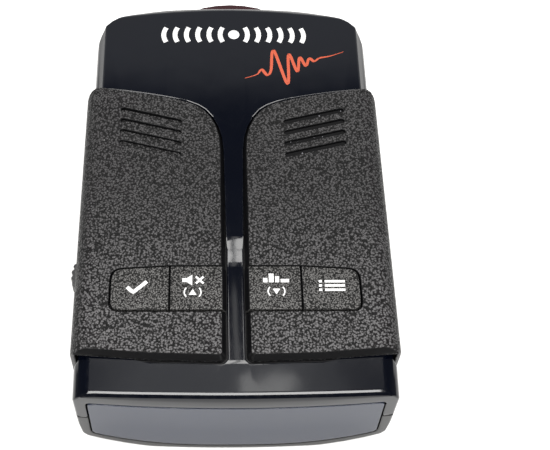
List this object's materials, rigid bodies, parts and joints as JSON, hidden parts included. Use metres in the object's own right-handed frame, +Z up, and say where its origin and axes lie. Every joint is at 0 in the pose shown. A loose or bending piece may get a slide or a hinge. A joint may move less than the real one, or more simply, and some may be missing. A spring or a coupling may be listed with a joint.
{
  "type": "radar detector",
  "caption": "Windscreen radar detector: gloss black housing, grained wings with flush keys, smoked display window, side volume wheel, rear lens and bracket slot.",
  "frame": {"origin": "middle of the flat underside of the lower housing, on the centre plane, level with the middle of the body", "axes": "+X to the right of someone facing the display, +Y from the display end to the rear lens, +Z up out of the deck"},
  "size_m": [0.0739, 0.1116, 0.0326],
  "materials": {
    "gloss_housing": "piano black",
    "satin_housing": "fine satin",
    "grained_wing": "moulded grain",
    "smoked_window": "smoked, polished",
    "dark_lens": "dark filter, polished",
    "black_plastic": "satin",
    "foam": "open cell",
    "circuit_board": "solder mask",
    "cable_film": "amber film",
    "cast_metal": "as cast",
    "tinned_steel": "tinned",
    "screw_steel": "blackened",
    "magnet": "ground",
    "ceramic": "fired",
    "speaker_cone": "film",
    "speaker_cloth": "woven",
    "label_film": "matt film"
  },
  "bodies": {
    "housing": {"upper_housing": "gloss_housing", "lower_housing": "satin_housing", "left_wing": "grained_wing", "right_wing": "grained_wing", "display_window": "smoked_window", "laser_lens": "dark_lens", "display_foam": "foam", "display_panel": "black_plastic", "display_board": "circuit_board", "display_cable": "cable_film", "main_board": "circuit_board", "horn_antenna": "cast_metal", "rf_shield": "tinned_steel", "gps_antenna": "ceramic", "laser_board": "circuit_board", "laser_sensor": "tinned_steel", "speaker_frame": "tinned_steel", "speaker_magnet": "magnet", "speaker_cone": "speaker_cone", "speaker_mesh": "speaker_cloth", "volume_pot": "tinned_steel", "power_jack": "black_plastic", "usb_shell": "tinned_steel", "usb_tongue": "black_plastic", "rating_label": "label_film", "switch_confirm": "black_plastic", "switch_up": "black_plastic", "switch_down": "black_plastic", "switch_mode": "black_plastic", "case_screw_front_left": "screw_steel", "case_screw_front_right": "screw_steel", "case_screw_rear_left": "screw_steel", "case_screw_rear_right": "screw_steel", "board_screw_left": "screw_steel", "board_screw_right": "screw_steel", "horn_screw_left": "screw_steel", "horn_screw_right": "screw_steel"},
    "volume_wheel": {"volume_wheel": "black_plastic"},
    "key_confirm": {"key_confirm": "grained_wing", "plunger_confirm": "black_plastic"},
    "key_up": {"key_up": "grained_wing", "plunger_up": "black_plastic"},
    "key_down": {"key_down": "grained_wing", "plunger_down": "black_plastic"},
    "key_mode": {"key_mode": "grained_wing", "plunger_mode": "black_plastic"}
  },
  "joints": [
    {"name": "volume_wheel_turn", "type": "hinge", "parent": "housing", "child": "volume_wheel", "pos_m": [-0.0296, -0.018, 0.0175], "axis": [0, 0, 1], "range_deg": [0, 270]},
    {"name": "key_confirm_press", "type": "slide", "parent": "housing", "child": "key_confirm", "axis": [0, 0, -1], "range_m": [0, 0.0004], "stiffness_N_per_m": 500, "springref_m": -0.0025},
    {"name": "key_up_press", "type": "slide", "parent": "housing", "child": "key_up", "axis": [0, 0, -1], "range_m": [0, 0.0004], "stiffness_N_per_m": 500, "springref_m": -0.0025},
    {"name": "key_down_press", "type": "slide", "parent": "housing", "child": "key_down", "axis": [0, 0, -1], "range_m": [0, 0.0004], "stiffness_N_per_m": 500, "springref_m": -0.0025},
    {"name": "key_mode_press", "type": "slide", "parent": "housing", "child": "key_mode", "axis": [0, 0, -1], "range_m": [0, 0.0004], "stiffness_N_per_m": 500, "springref_m": -0.0025}
  ]
}
